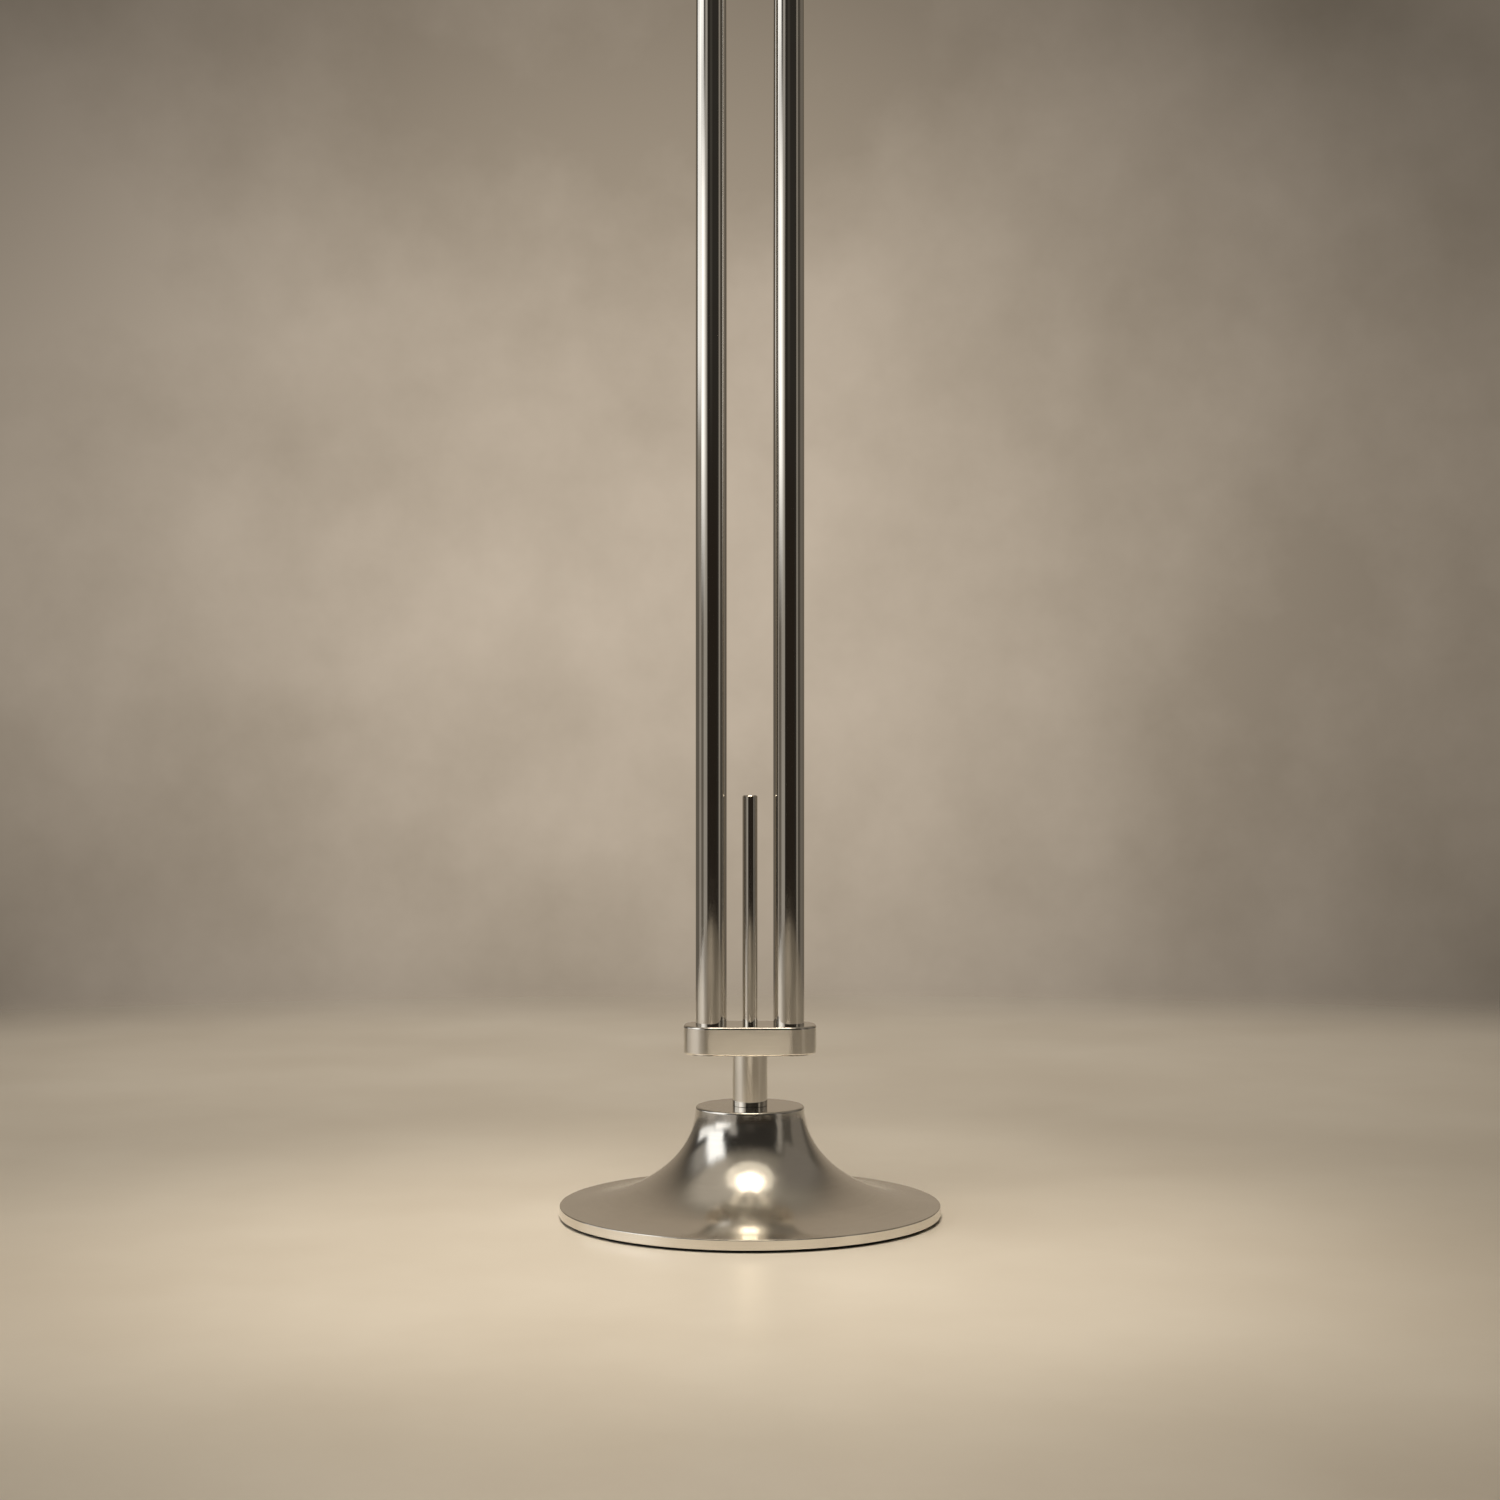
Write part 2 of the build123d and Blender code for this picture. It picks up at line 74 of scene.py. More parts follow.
def remap(tree, value, from_low, from_high, to_low=0.0, to_high=1.0, smooth=False):
    """A value moved from one range to another, clamped, along a line or an S-curve."""
    node = tree.nodes.new("ShaderNodeMapRange")
    node.interpolation_type = "SMOOTHSTEP" if smooth else "LINEAR"
    tree.links.new(value, node.inputs["Value"])
    node.inputs["From Min"].default_value = from_low
    node.inputs["From Max"].default_value = from_high
    node.inputs["To Min"].default_value = to_low
    node.inputs["To Max"].default_value = to_high
    return node.outputs["Result"]


def mix_colors(tree, factor, first, second, blend="MIX"):
    """A mix of two colours, each a tuple or a socket."""
    node = tree.nodes.new("ShaderNodeMix")
    node.data_type = "RGBA"
    node.blend_type = blend
    first_color, second_color = node.inputs[6:8]
    feed(tree, node.inputs["Factor"], factor)
    feed(tree, first_color, first)
    feed(tree, second_color, second)
    return node.outputs[2]


def noise(tree, vector, scale, detail=4.0, rough=0.55):
    """Noise from 0 to 1 over a vector."""
    node = tree.nodes.new("ShaderNodeTexNoise")
    tree.links.new(vector, node.inputs["Vector"])
    node.inputs["Scale"].default_value = scale
    node.inputs["Detail"].default_value = detail
    node.inputs["Roughness"].default_value = rough
    return node.outputs[0]


def cells(tree, vector, scale):
    """Distance from the nearest of the points scattered over a vector."""
    node = tree.nodes.new("ShaderNodeTexVoronoi")
    tree.links.new(vector, node.inputs["Vector"])
    node.inputs["Scale"].default_value = scale
    return node.outputs["Distance"]


def stretched(tree, vector, scale):
    """A vector scaled by a different amount along each axis."""
    node = tree.nodes.new("ShaderNodeMapping")
    tree.links.new(vector, node.inputs["Vector"])
    node.inputs["Scale"].default_value = scale
    return node.outputs[0]


def object_point(tree):
    """The shaded point in the piece's own frame, in metres."""
    return tree.nodes.new("ShaderNodeTexCoord").outputs["Object"]


def coordinates(tree, vector):
    """The three coordinates of a vector."""
    node = tree.nodes.new("ShaderNodeSeparateXYZ")
    tree.links.new(vector, node.inputs[0])
    return node.outputs


def distance_out(tree, x, y):
    """The distance from an upright axis, from the two level coordinates."""
    squares = [arithmetic(tree, "MULTIPLY", value, value) for value in (x, y)]
    return arithmetic(tree, "SQRT", arithmetic(tree, "ADD", *squares))


def turned_point(tree, centre, stretch):
    """The shaded point as radius, height and turn about an upright axis, each scaled for a grain."""
    moved = tree.nodes.new("ShaderNodeVectorMath")
    moved.operation = "SUBTRACT"
    tree.links.new(object_point(tree), moved.inputs[0])
    moved.inputs[1].default_value = (*centre, 0.0)
    x, y, z = coordinates(tree, moved.outputs[0])
    around = (distance_out(tree, x, y), z, arithmetic(tree, "ARCTAN2", y, x))
    joined = tree.nodes.new("ShaderNodeCombineXYZ")
    for socket, value, scale in zip(joined.inputs, around, stretch):
        tree.links.new(arithmetic(tree, "MULTIPLY", value, scale), socket)
    return joined.outputs[0]


def new_material(name, metallic=0.0, **constants):
    """A material, its node tree and its shader, with constants set on the shader's own sockets."""
    material = bpy.data.materials.new(name)
    material.use_nodes = True
    shader = material.node_tree.nodes["Principled BSDF"]
    shader.inputs["Metallic"].default_value = metallic
    for socket, value in constants.items():
        shader.inputs[socket.replace("_", " ")].default_value = value
    return material, material.node_tree, shader


def bump(tree, shader, height, distance, strength=1.0):
    """Relief of a given depth in metres on a shader."""
    node = tree.nodes.new("ShaderNodeBump")
    tree.links.new(height, node.inputs["Height"])
    node.inputs["Distance"].default_value = distance
    node.inputs["Strength"].default_value = strength
    tree.links.new(node.outputs[0], shader.inputs["Normal"])


BEVEL_SAMPLES = 4
# How far a rounded normal still agrees with the face's own, where wear starts and where it is full
WEAR_STARTS = 0.97
WEAR_FULL = 0.82


def edge_wear(tree, width, patch_scale, reach=(0.42, 0.62)):
    """How worn the surface is: 0 on open faces, up to 1 in broken patches along edges of a given width.

    reach is the span of noise over which a patch goes from whole to worn.
    """
    rounded = tree.nodes.new("ShaderNodeBevel")
    rounded.samples = BEVEL_SAMPLES
    rounded.inputs["Radius"].default_value = width
    agreement = tree.nodes.new("ShaderNodeVectorMath")
    agreement.operation = "DOT_PRODUCT"
    tree.links.new(rounded.outputs[0], agreement.inputs[0])
    tree.links.new(tree.nodes.new("ShaderNodeNewGeometry").outputs["Normal"], agreement.inputs[1])
    edge = remap(tree, agreement.outputs["Value"], WEAR_STARTS, WEAR_FULL, smooth=True)
    blotches = noise(tree, object_point(tree), patch_scale, detail=6.0, rough=0.7)
    return arithmetic(tree, "MULTIPLY", edge, remap(tree, blotches, *reach, smooth=True))


# --- Materials -------------------------------------------------------------------------------

NICKEL = (0.86, 0.83, 0.775)
NICKEL_SHADE = (0.79, 0.755, 0.70)
WORN_NICKEL = (0.80, 0.70, 0.56)
BARE_STEEL = (0.55, 0.54, 0.52)
STEEL_SHADE = (0.42, 0.41, 0.39)
ZINC = (0.62, 0.63, 0.63)
ZINC_SHADE = (0.5, 0.51, 0.5)
BRASS = (0.78, 0.6, 0.3)
BRASS_SHADE = (0.6, 0.42, 0.18)
CASTING_BLACK = (0.02, 0.02, 0.022)
CASTING_PALE = (0.06, 0.055, 0.05)
POWDER_BLACK = (0.018, 0.018, 0.019)
POWDER_PALE = (0.035, 0.034, 0.033)
ACETAL_BLACK = (0.012, 0.012, 0.013)
ACETAL_PALE = (0.028, 0.028, 0.029)
ACETAL_WORN = (0.09, 0.088, 0.085)
RUBBER_BLACK = (0.012, 0.012, 0.012)
RUBBER_DUST = (0.05, 0.047, 0.042)
RUBBER_WORN = (0.075, 0.07, 0.064)
FELT_DARK = (0.016, 0.016, 0.017)
FELT_PALE = (0.085, 0.083, 0.078)

# The part of 0 to 1 that a noise mostly fills
NOISE_SPAN = (0.3, 0.7)
NOISE_MIDDLE = (0.35, 0.65)

# How tight each grain's lines are along X, Y and Z, or along radius, height and turn where they go round
POLISH_GRAINS = {
    "turned": (1500.0, 1500.0, 0.8),
    "length": (700.0, 700.0, 3.0),
    "flat": (40.0, 900.0, 900.0),
}
TOOL_MARKS = (5200.0, 5200.0, 1.2)
LATHE_MARKS = (4200.0, 4200.0, 0.7)
FELT_FIBRES = (1800.0, 700.0, 1800.0)
FELT_CROSSED = (700.0, 1800.0, 1200.0)


def polished_metal(name, grain, roughness, depth, centre=(0, 0)):
    """Nickel plate with the fine lines of its last polish, smudges, and warmer worn edges.

    grain is "length" for lines along Z, "turned" for rings round an upright axis, or "flat".
    """
    material, tree, shader = new_material(name, metallic=1.0)
    if grain == "turned":
        lines = turned_point(tree, centre, POLISH_GRAINS[grain])
    else:
        lines = stretched(tree, object_point(tree), POLISH_GRAINS[grain])
    streaks = noise(tree, lines, 1.0, detail=3.0)
    cloud = noise(tree, object_point(tree), 22.0, detail=5.0)
    handling = noise(tree, object_point(tree), 9.0, detail=6.0, rough=0.7)
    smudge = remap(tree, handling, 0.5, 0.72, smooth=True)
    blend = arithmetic(tree, "MULTIPLY_ADD", streaks, 0.45, arithmetic(tree, "MULTIPLY", cloud, 0.55))
    wear = edge_wear(tree, 0.7 * MM, 260.0)
    rough = remap(tree, blend, *NOISE_SPAN, *roughness)
    rough = arithmetic(tree, "MULTIPLY_ADD", smudge, 0.035, rough)
    rough = arithmetic(tree, "MULTIPLY_ADD", wear, 0.12, rough)
    tree.links.new(rough, shader.inputs["Roughness"])
    plated = mix_colors(tree, remap(tree, blend, *NOISE_MIDDLE), NICKEL, NICKEL_SHADE)
    tree.links.new(mix_colors(tree, wear, plated, WORN_NICKEL), shader.inputs["Base Color"])
    bump(tree, shader, streaks, depth)
    return material


def machined_metal(name, color, shade, roughness):
    """Metal with fine tool marks round the column's axis, and edges rubbed brighter."""
    material, tree, shader = new_material(name, metallic=1.0)
    marks = noise(tree, turned_point(tree, (0.0, 0.0), TOOL_MARKS), 1.0, detail=2.0)
    cloud = noise(tree, object_point(tree), 160.0, detail=5.0)
    wear = edge_wear(tree, 0.3 * MM, 500.0, reach=(0.3, 0.55))
    rough = remap(tree, cloud, *NOISE_SPAN, *roughness)
    tree.links.new(arithmetic(tree, "MULTIPLY_ADD", wear, -0.1, rough), shader.inputs["Roughness"])
    plain = mix_colors(tree, remap(tree, cloud, 0.35, 0.68), color, shade)
    burnished = tuple(min(1.0, 1.3 * c) for c in color)
    tree.links.new(mix_colors(tree, wear, plain, burnished), shader.inputs["Base Color"])
    bump(tree, shader, marks, 8e-6, 0.6)
    return material


def wear_to_metal(tree, shader, wear, coating, rough):
    """Shows bare steel where a coating is worn through."""
    tree.links.new(mix_colors(tree, wear, coating, BARE_STEEL), shader.inputs["Base Color"])
    tree.links.new(wear, shader.inputs["Metallic"])
    tree.links.new(arithmetic(tree, "MULTIPLY_ADD", wear, -0.18, rough), shader.inputs["Roughness"])


def cast_iron():
    """Black painted sand casting, chipped along its edges."""
    material, tree, shader = new_material("cast_iron", Specular_IOR_Level=0.4)
    grains = cells(tree, object_point(tree), 900.0)
    cloud = noise(tree, object_point(tree), 60.0, detail=8.0)
    height = arithmetic(tree, "ADD", arithmetic(tree, "MULTIPLY", grains, 0.4), cloud)
    paint = mix_colors(tree, cloud, CASTING_BLACK, CASTING_PALE)
    wear = edge_wear(tree, 1.5 * MM, 180.0, reach=(0.5, 0.58))
    wear_to_metal(tree, shader, wear, paint, remap(tree, cloud, *NOISE_SPAN, 0.5, 0.75))
    bump(tree, shader, height, 2e-4)
    return material


def powder_coat():
    """Black powder coat with its fine orange peel, rubbed through here and there on its edges."""
    material, tree, shader = new_material("black_powder_coat", Specular_IOR_Level=0.5)
    peel = noise(tree, object_point(tree), 1400.0, detail=2.0)
    cloud = noise(tree, object_point(tree), 30.0, detail=5.0)
    paint = mix_colors(tree, cloud, POWDER_BLACK, POWDER_PALE)
    wear = edge_wear(tree, 0.8 * MM, 240.0, reach=(0.52, 0.6))
    wear_to_metal(tree, shader, wear, paint, remap(tree, cloud, *NOISE_SPAN, 0.42, 0.58))
    bump(tree, shader, peel, 4e-5)
    return material


def acetal(name, centre):
    """Black turned acetal, its gloss broken up by lathe marks."""
    material, tree, shader = new_material(name, Specular_IOR_Level=0.45)
    marks = noise(tree, turned_point(tree, centre, LATHE_MARKS), 1.0, detail=2.0)
    cloud = noise(tree, object_point(tree), 120.0, detail=4.0)
    tree.links.new(remap(tree, marks, *NOISE_SPAN, 0.28, 0.42), shader.inputs["Roughness"])
    plain = mix_colors(tree, cloud, ACETAL_BLACK, ACETAL_PALE)
    wear = edge_wear(tree, 0.4 * MM, 400.0)
    tree.links.new(mix_colors(tree, wear, plain, ACETAL_WORN), shader.inputs["Base Color"])
    bump(tree, shader, marks, 1e-5)
    return material


def rubber():
    """Matt black rubber with a fine grain and pale dust in it."""
    material, tree, shader = new_material("black_rubber", Specular_IOR_Level=0.35)
    grain = noise(tree, object_point(tree), 2600.0, detail=3.0)
    cloud = noise(tree, object_point(tree), 45.0, detail=7.0, rough=0.65)
    tree.links.new(remap(tree, grain, *NOISE_SPAN, 0.62, 0.8), shader.inputs["Roughness"])
    dust = arithmetic(tree, "MULTIPLY", remap(tree, cloud, 0.45, 0.8, smooth=True), 0.5)
    dusty = mix_colors(tree, dust, RUBBER_BLACK, RUBBER_DUST)
    wear = edge_wear(tree, 0.8 * MM, 200.0)
    tree.links.new(mix_colors(tree, wear, dusty, RUBBER_WORN), shader.inputs["Base Color"])
    bump(tree, shader, grain, 3e-5)
    return material


def felt():
    """Grey wool felt: matted fibres, a soft sheen and paler flecks."""
    material, tree, shader = new_material(
        "grey_felt", Roughness=0.95, Sheen_Weight=0.2, Sheen_Roughness=0.5, Specular_IOR_Level=0.1
    )
    point = object_point(tree)
    fibres = noise(tree, stretched(tree, point, FELT_FIBRES), 1.0, detail=6.0, rough=0.75)
    crossed = noise(tree, stretched(tree, point, FELT_CROSSED), 1.0, detail=6.0, rough=0.75)
    mat = arithmetic(tree, "MAXIMUM", fibres, crossed)
    color = mix_colors(tree, remap(tree, mat, 0.45, 0.75), FELT_DARK, FELT_PALE)
    tree.links.new(color, shader.inputs["Base Color"])
    bump(tree, shader, mat, 3e-4)
    return material


def middle(name):
    """Where the middle of a CAD node's box lies, seen from above."""
    low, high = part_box(name)
    return (low.x + high.x) / 2, (low.y + high.y) / 2


peg_axis = (0.0, middle("peg_cap")[1])
tube_axes = {side: (middle(f"{side}_tube")[0], 0.0) for side in ("left", "right")}

spun_nickel = polished_metal("spun_nickel", "turned", (0.13, 0.20), 1.0e-6)
drawn_nickel = polished_metal("drawn_nickel", "length", (0.035, 0.075), 0.25e-6)
milled_nickel = polished_metal("milled_nickel", "flat", (0.055, 0.10), 0.4e-6)
peg_nickel = polished_metal("peg_nickel", "turned", (0.08, 0.15), 1.2e-6, centre=peg_axis)
machined_steel = machined_metal("machined_steel", BARE_STEEL, STEEL_SHADE, (0.28, 0.42))
zinc_steel = machined_metal("zinc_steel", ZINC, ZINC_SHADE, (0.24, 0.4))
stainless = machined_metal("stainless_screws", BARE_STEEL, STEEL_SHADE, (0.16, 0.28))
brass = machined_metal("brass", BRASS, BRASS_SHADE, (0.18, 0.32))
iron = cast_iron()
coated = powder_coat()
swivel_acetal = acetal("swivel_acetal", (0.0, 0.0))
guide_acetal = {side: acetal(f"{side}_guide_acetal", tube_axes[side]) for side in tube_axes}
black_rubber = rubber()
wool_felt = felt()

FINISHES = {
    "foot_shell": spun_nickel,
    "foot_ballast": iron,
    "foot_bottom_plate": coated,
    "foot_bottom_screws": zinc_steel,
    "foot_pad": black_rubber,
    "bearing_housing": machined_steel,
    "housing_screws": zinc_steel,
    "upper_bush": swivel_acetal,
    "lower_bush": swivel_acetal,
    "swivel_post": drawn_nickel,
    "spindle_washer": zinc_steel,
    "disc_springs": machined_steel,
    "spindle_nut": zinc_steel,
    "lower_plate": milled_nickel,
    "lower_plate_screws": zinc_steel,
    "top_plate": milled_nickel,
    "top_plate_screws": stainless,
    "left_tube": drawn_nickel,
    "right_tube": drawn_nickel,
    "stop_rod": drawn_nickel,
    "carriage_block": milled_nickel,
    "rod_buffer": black_rubber,
    "peg_arm": peg_nickel,
    "arm_grub_screw": stainless,
    "bell_dish": peg_nickel,
    "bell_cone_core": swivel_acetal,
    "bell_cone_cover": black_rubber,
    "peg_bolt": stainless,
    "peg_cap": peg_nickel,
    "clamp_pad": brass,
    "clamp_screw": stainless,
    "clamp_knob": milled_nickel,
}
for side, finish in guide_acetal.items():
    for end in ("upper", "lower"):
        FINISHES[f"{side}_{end}_guide_bush"] = finish
        FINISHES[f"{side}_{end}_plug"] = machined_steel

for name, finish in FINISHES.items():
    nodes[name].data.materials.clear()
    nodes[name].data.materials.append(finish)

# --- Felt ring under the bell ----------------------------------------------------------------

FELT_TURNS = 240
FELT_ROUNDING = 0.9 * MM
FELT_UNEVEN = 0.12 * MM
CORNER_STEPS = 6
LUMPS_PER_METRE = 420.0


def felt_profile(inner, outer, bottom, top):
    """Radius and height round the ring's section: a flat underside, rounded top corners and a level top."""
    points = [(inner, bottom), ((inner + outer) / 2, bottom), (outer, bottom)]
    for corner, start in ((outer - FELT_ROUNDING, 0.0), (inner + FELT_ROUNDING, 90.0)):
        for step in range(CORNER_STEPS + 1):
            angle = math.radians(start + 90.0 * step / CORNER_STEPS)
            height = top - FELT_ROUNDING + FELT_ROUNDING * math.sin(angle)
            points.append((corner + FELT_ROUNDING * math.cos(angle), height))
        if start == 0.0:
            for share in (0.2, 0.4, 0.6, 0.8):
                points.append((corner + share * (inner - outer + 2 * FELT_ROUNDING), top))
    return points


def felt_ring():
    """The felt ring with rounded corners and an uneven surface, in place of its plain solid."""
    low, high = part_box("bell_felt")
    centre = middle("bell_felt")
    outer = (high.x - low.x) / 2 - FELT_UNEVEN
    inner = FELT_UNEVEN + min(math.dist(v.co.xy, centre) for v in nodes["bell_felt"].data.vertices)
    profile = felt_profile(inner, outer, low.z, high.z - FELT_UNEVEN)
    shape = bmesh.new()
    rings = []
    for turn in range(FELT_TURNS):
        angle = math.tau * turn / FELT_TURNS
        ring = []
        for radius, height in profile:
            x, y = radius * math.cos(angle), radius * math.sin(angle)
            lump = solid_noise.fractal(Vector((x, y, height)) * LUMPS_PER_METRE, 0.8, 2.0, 3)
            lump = FELT_UNEVEN * max(-1.0, min(1.0, lump))
            if height > low.z:
                height += lump
                x, y = x * (1 + lump / radius), y * (1 + lump / radius)
            ring.append(shape.verts.new((centre[0] + x, centre[1] + y, height)))
        rings.append(ring)
    for turn, ring in enumerate(rings):
        following = rings[(turn + 1) % FELT_TURNS]
        for step in range(len(ring)):
            after = (step + 1) % len(ring)
            shape.faces.new((ring[step], following[step], following[after], ring[after]))
    bmesh.ops.recalc_face_normals(shape, faces=shape.faces)
    mesh = bpy.data.meshes.new("felt_ring")
    shape.to_mesh(mesh)
    shape.free()
    mesh.shade_smooth()
    ring = bpy.data.objects.new("felt_ring", mesh)
    bpy.context.scene.collection.objects.link(ring)
    mesh.materials.append(wool_felt)
    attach(ring, "carriage")
    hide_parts("bell_felt")


felt_ring()

# --- Studio: floor, surroundings and lights --------------------------------------------------

FLOOR_CENTRE = (0.0, -0.9)
FLOOR_RADIUS = 3.3
FLOOR_FADE = (2.25, 2.95)
FLOOR_DARK = (0.60, 0.54, 0.455)
FLOOR_PALE = (0.68, 0.625, 0.54)
FLOOR_ROUGHNESS = (0.29, 0.37)


def studio_floor():
    """A pale, faintly glossy round floor that fades into the surroundings."""
    mesh = bpy.data.meshes.new("studio_floor")
    shape = bmesh.new()
    bmesh.ops.create_circle(shape, cap_ends=True, segments=128, radius=FLOOR_RADIUS)
    shape.to_mesh(mesh)
    shape.free()
    floor = bpy.data.objects.new("studio_floor", mesh)
    floor.location = (*FLOOR_CENTRE, 0.0)
    bpy.context.scene.collection.objects.link(floor)
    material, tree, shader = new_material("studio_floor", Specular_IOR_Level=0.5)
    point = object_point(tree)
    cloud = noise(tree, point, 2.2, detail=6.0, rough=0.6)
    fine = noise(tree, point, 55.0, detail=5.0, rough=0.6)
    color = mix_colors(tree, remap(tree, cloud, *NOISE_MIDDLE), FLOOR_DARK, FLOOR_PALE)
    tree.links.new(color, shader.inputs["Base Color"])
    tree.links.new(remap(tree, cloud, *NOISE_SPAN, *FLOOR_ROUGHNESS), shader.inputs["Roughness"])
    bump(tree, shader, fine, 2e-4, 0.1)
    x, y, _ = coordinates(tree, point)
    alpha = remap(tree, distance_out(tree, x, y), *FLOOR_FADE, 1.0, 0.0, smooth=True)
    tree.links.new(alpha, shader.inputs["Alpha"])
    mesh.materials.append(material)


def rise_and_fall(tree, value, edges):
    """0 outside the first and last of four edges, 1 between the middle two."""
    rise = remap(tree, value, edges[0], edges[1], smooth=True)
    fall = remap(tree, value, edges[2], edges[3], 1.0, 0.0, smooth=True)
    return arithmetic(tree, "MULTIPLY", rise, fall)


# What the metal reflects: colours, and edges in degrees. Azimuth is 0 on the camera's side, + to the right
DIM = (0.028, 0.025, 0.021)
WALL = (0.345, 0.285, 0.215)
WALL_AZIMUTHS = (118.0, 176.0)
WALL_ELEVATIONS = (30.0, 75.0)
WALL_TOP = 0.35
PANELS = [
    # Azimuths, then elevations, where a panel starts, is full, starts to fade and ends, and its colour
    ((-400, -399, 399, 400), (38, 60, 91, 92), (0.22, 0.195, 0.155)),
    ((-178, -150, -70, -30), (46, 58, 76, 88), (0.40, 0.355, 0.29)),
    ((-175, -135, -66, -30), (-30, -20, 3, 9), (0.12, 0.105, 0.085)),
    ((-104, -94, -82, -74), (-14, -8, 3, 9), (0.28, 0.25, 0.215)),
    ((-62, -52, -32, -26), (-14, -8, 10, 18), (0.31, 0.285, 0.25)),
    ((-82, -74, -62, -30), (2.5, 8, 12, 16), (1.40, 1.38, 1.34)),
    ((-128, -118, -82, -74), (2.5, 6, 10, 14), (0.24, 0.215, 0.18)),
    ((-122, -114, -82, -74), (6.5, 9.5, 16, 20), (1.05, 1.04, 1.01)),
    ((-135, -112, -92, -84), (22, 28, 44, 56), (0.27, 0.25, 0.22)),
    ((-100, -88, -62, -52), (12, 18, 44, 58), (1.35, 1.35, 1.33)),
    ((-46, -40, -30, -24), (10, 14, 20, 26), (0.36, 0.34, 0.31)),
    ((-30, -22, 40, 52), (-8, -2, 4, 10), (0.02, 0.0155, 0.0115)),
    ((-12, -5, 5, 12), (6, 11, 14, 22), (0.055, 0.05, 0.042)),
    ((56, 60, 120, 150), (-20, -12, 20, 60), (0.07, 0.062, 0.05)),
    ((56, 60, 67, 72), (-20, -12, 38, 50), (0.26, 0.235, 0.20)),
    ((90, 97, 122, 136), (-20, -12, 38, 50), (0.16, 0.14, 0.115)),
    ((66, 80, 125, 150), (24, 34, 60, 80), (0.17, 0.15, 0.125)),
]

# The background's plaster and the glow on it: its waves round, where its middle lies, and its shape
PLASTER_DARK = (0.40, 0.33, 0.25)
PLASTER_PALE = (0.55, 0.46, 0.36)
GLOW_WAVES = 4.0
GLOW_SHIFT = 0.12
GLOW_HEIGHT = 0.07
GLOW_UPRIGHT = 3.25
GLOW_SIDEWAYS = 0.72
GLOW_POWER = 1.34
GLOW_FALL = 1.19
GLOW_LEAST = 0.3


def studio_surroundings():
    """What the metal reflects, and a warm plaster wall as the picture's background."""
    world = bpy.data.worlds.new("studio")
    bpy.context.scene.world = world
    world.use_nodes = True
    tree = world.node_tree
    tree.nodes.clear()
    direction = tree.nodes.new("ShaderNodeTexCoord").outputs["Generated"]
    x, y, z = coordinates(tree, direction)
    turn = arithmetic(tree, "ARCTAN2", x, arithmetic(tree, "MULTIPLY", y, -1.0))
    azimuth = arithmetic(tree, "DEGREES", turn)
    elevation = arithmetic(tree, "DEGREES", arithmetic(tree, "ARCSINE", z))

    # Reflections: dim all round, a lit wall behind the stand, and soft panels
    behind = remap(tree, arithmetic(tree, "ABSOLUTE", azimuth), *WALL_AZIMUTHS, smooth=True)
    low = remap(tree, elevation, *WALL_ELEVATIONS, 1.0, WALL_TOP, smooth=True)
    color = mix_colors(tree, arithmetic(tree, "MULTIPLY", behind, low), DIM, WALL)
    for sides, heights, tint in PANELS:
        across = rise_and_fall(tree, azimuth, sides)
        upright = rise_and_fall(tree, elevation, heights)
        color = mix_colors(tree, arithmetic(tree, "MULTIPLY", across, upright), color, tint)
    reflected = tree.nodes.new("ShaderNodeBackground")
    tree.links.new(color, reflected.inputs["Color"])

    # Background: mottled plaster, and a glow low down behind the stand that repeats every eighth of a turn
    mottle = noise(tree, direction, 6.5, detail=6.0, rough=0.6)
    broad = arithmetic(tree, "MULTIPLY", noise(tree, direction, 2.6, detail=2.0, rough=0.4), 0.45)
    tone = arithmetic(tree, "ADD", arithmetic(tree, "MULTIPLY", mottle, 0.55), broad)
    plaster = mix_colors(tree, remap(tree, tone, 0.40, 0.60), PLASTER_DARK, PLASTER_PALE)
    aside = arithmetic(tree, "SINE", arithmetic(tree, "MULTIPLY_ADD", turn, GLOW_WAVES, -GLOW_SHIFT))
    aside = arithmetic(tree, "MULTIPLY", arithmetic(tree, "MULTIPLY", aside, aside), GLOW_SIDEWAYS)
    above = arithmetic(tree, "MULTIPLY", arithmetic(tree, "SUBTRACT", z, GLOW_HEIGHT), GLOW_UPRIGHT)
    fall = arithmetic(tree, "POWER", arithmetic(tree, "MULTIPLY_ADD", above, above, aside), GLOW_POWER)
    fading = arithmetic(tree, "EXPONENT", arithmetic(tree, "MULTIPLY", fall, -GLOW_FALL))
    glow = arithmetic(tree, "MAXIMUM", fading, GLOW_LEAST)
    seen = tree.nodes.new("ShaderNodeBackground")
    tree.links.new(mix_colors(tree, 1.0, plaster, glow, "MULTIPLY"), seen.inputs["Color"])

    choice = tree.nodes.new("ShaderNodeMixShader")
    tree.links.new(tree.nodes.new("ShaderNodeLightPath").outputs["Is Camera Ray"], choice.inputs[0])
    tree.links.new(reflected.outputs[0], choice.inputs[1])
    tree.links.new(seen.outputs[0], choice.inputs[2])
    output = tree.nodes.new("ShaderNodeOutputWorld")
    tree.links.new(choice.outputs[0], output.inputs["Surface"])


def place_light(name, data, location, target, reflected):
    """Puts a light at a place, facing a target, out of the camera's sight."""
    light = bpy.data.objects.new(name, data)
    light.location = location
    light.rotation_euler = (Vector(target) - Vector(location)).to_track_quat("-Z", "Y").to_euler()
    light.visible_camera = False
    light.visible_glossy = reflected
    bpy.context.scene.collection.objects.link(light)


def area_light(name, location, target, size, power, color, reflected=True):
    """A round soft light, its size in metres and its power in watts."""
    data = bpy.data.lights.new(name, "AREA")
    data.shape = "DISK"
    data.size = size
    data.energy = power
    data.color = color
    place_light(name, data, location, target, reflected)


POOL_SOFTNESS = 0.22


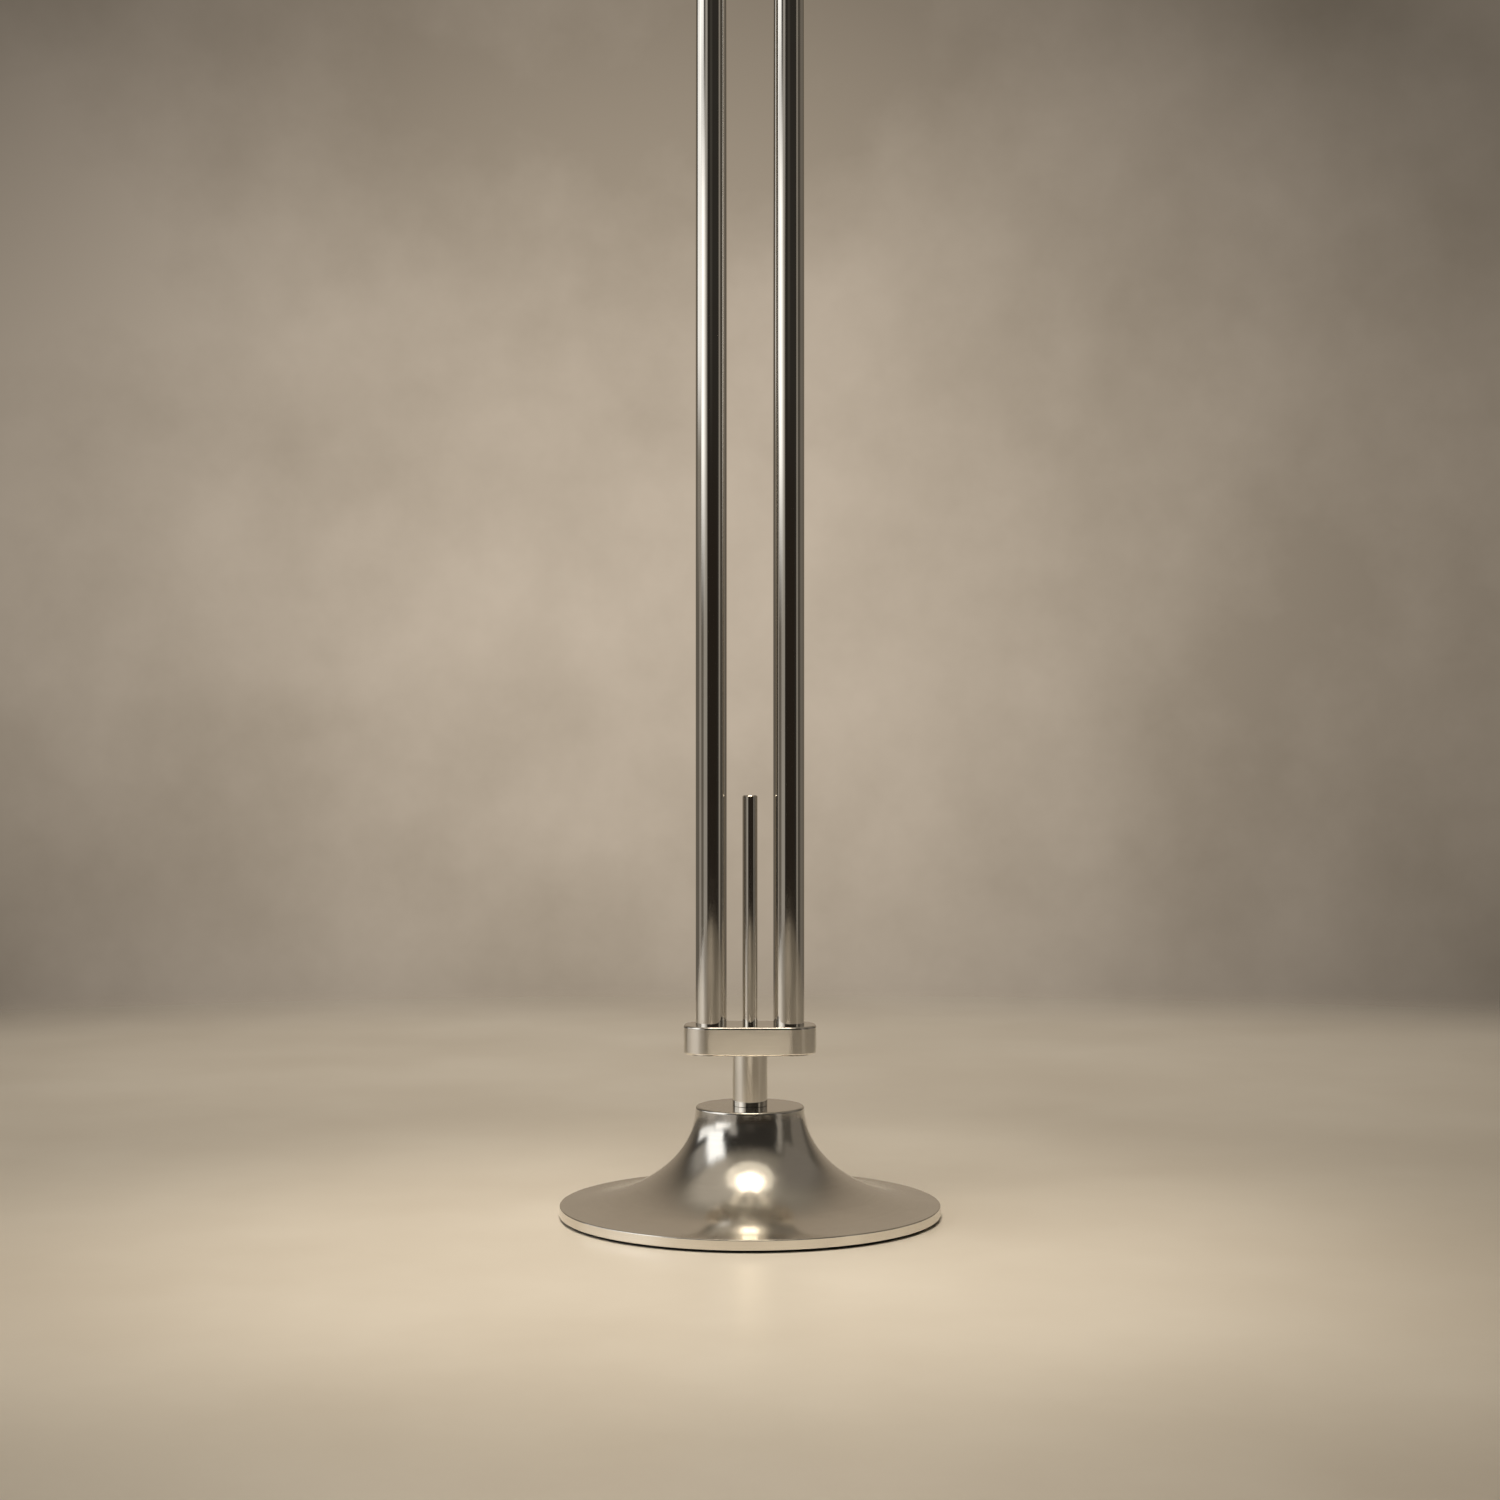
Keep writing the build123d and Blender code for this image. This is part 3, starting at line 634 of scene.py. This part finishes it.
def pool_light(name, location, target, angle, power, color):
    """A soft-edged pool of light on the floor, its cone in degrees and its power in watts."""
    data = bpy.data.lights.new(name, "SPOT")
    data.spot_size = math.radians(angle)
    data.spot_blend = 1.0
    data.shadow_soft_size = POOL_SOFTNESS
    data.energy = power
    data.color = color
    place_light(name, data, location, target, False)


studio_floor()
studio_surroundings()
area_light("overhead_lamp", (0.0, -0.10, 1.95), (0.0, -0.12, 0.0), 0.54, 4.5, (1.0, 0.88, 0.70))
area_light("overhead_glow", (0.0, -0.3, 1.9), (0.0, -0.2, 0.0), 1.3, 2.6, (1.0, 0.90, 0.74))
area_light("left_key", (-2.1, -0.2, 1.9), (-0.2, 0.1, 0.0), 1.2, 4.0, (1.0, 0.94, 0.86), reflected=False)
pool_light("foot_pool", (-0.1, -0.3, 2.1), (-0.04, -0.16, 0.0), 37.0, 155.0, (1.0, 0.92, 0.80))
pool_light("back_pool", (-0.3, 1.0, 2.1), (-0.04, 1.2, 0.0), 70.0, 72.0, (1.0, 0.93, 0.83))
pool_light("near_pool", (-0.1, -1.13, 2.1), (-0.02, -1.13, 0.0), 25.0, 128.0, (1.0, 0.95, 0.87))
pool_light("left_pool", (-1.6, -0.3, 2.2), (-1.5, -0.3, 0.0), 58.0, 86.0, (1.0, 0.95, 0.88))
pool_light("right_pool", (1.4, -0.6, 2.2), (1.3, -0.6, 0.0), 60.0, 28.0, (1.0, 0.92, 0.81))
pool_light("front_pool", (-0.3, -2.6, 2.1), (-0.2, -2.5, 0.0), 72.0, 60.0, (1.0, 0.94, 0.85))

# --- Camera: level, in front of the stand ----------------------------------------------------

VIEW_DISTANCE = 1.992
EYE_HEIGHT = 0.3722
LENS = 59.76
SENSOR = 36.0

lens = bpy.data.cameras.new("camera")
lens.lens = LENS
lens.sensor_width = SENSOR
camera = bpy.data.objects.new("camera", lens)
camera.location = (0.0, -VIEW_DISTANCE, EYE_HEIGHT)
camera.rotation_euler = (math.radians(90), 0.0, 0.0)
bpy.context.scene.collection.objects.link(camera)
bpy.context.scene.camera = camera
bpy.context.scene.view_settings.view_transform = "Standard"
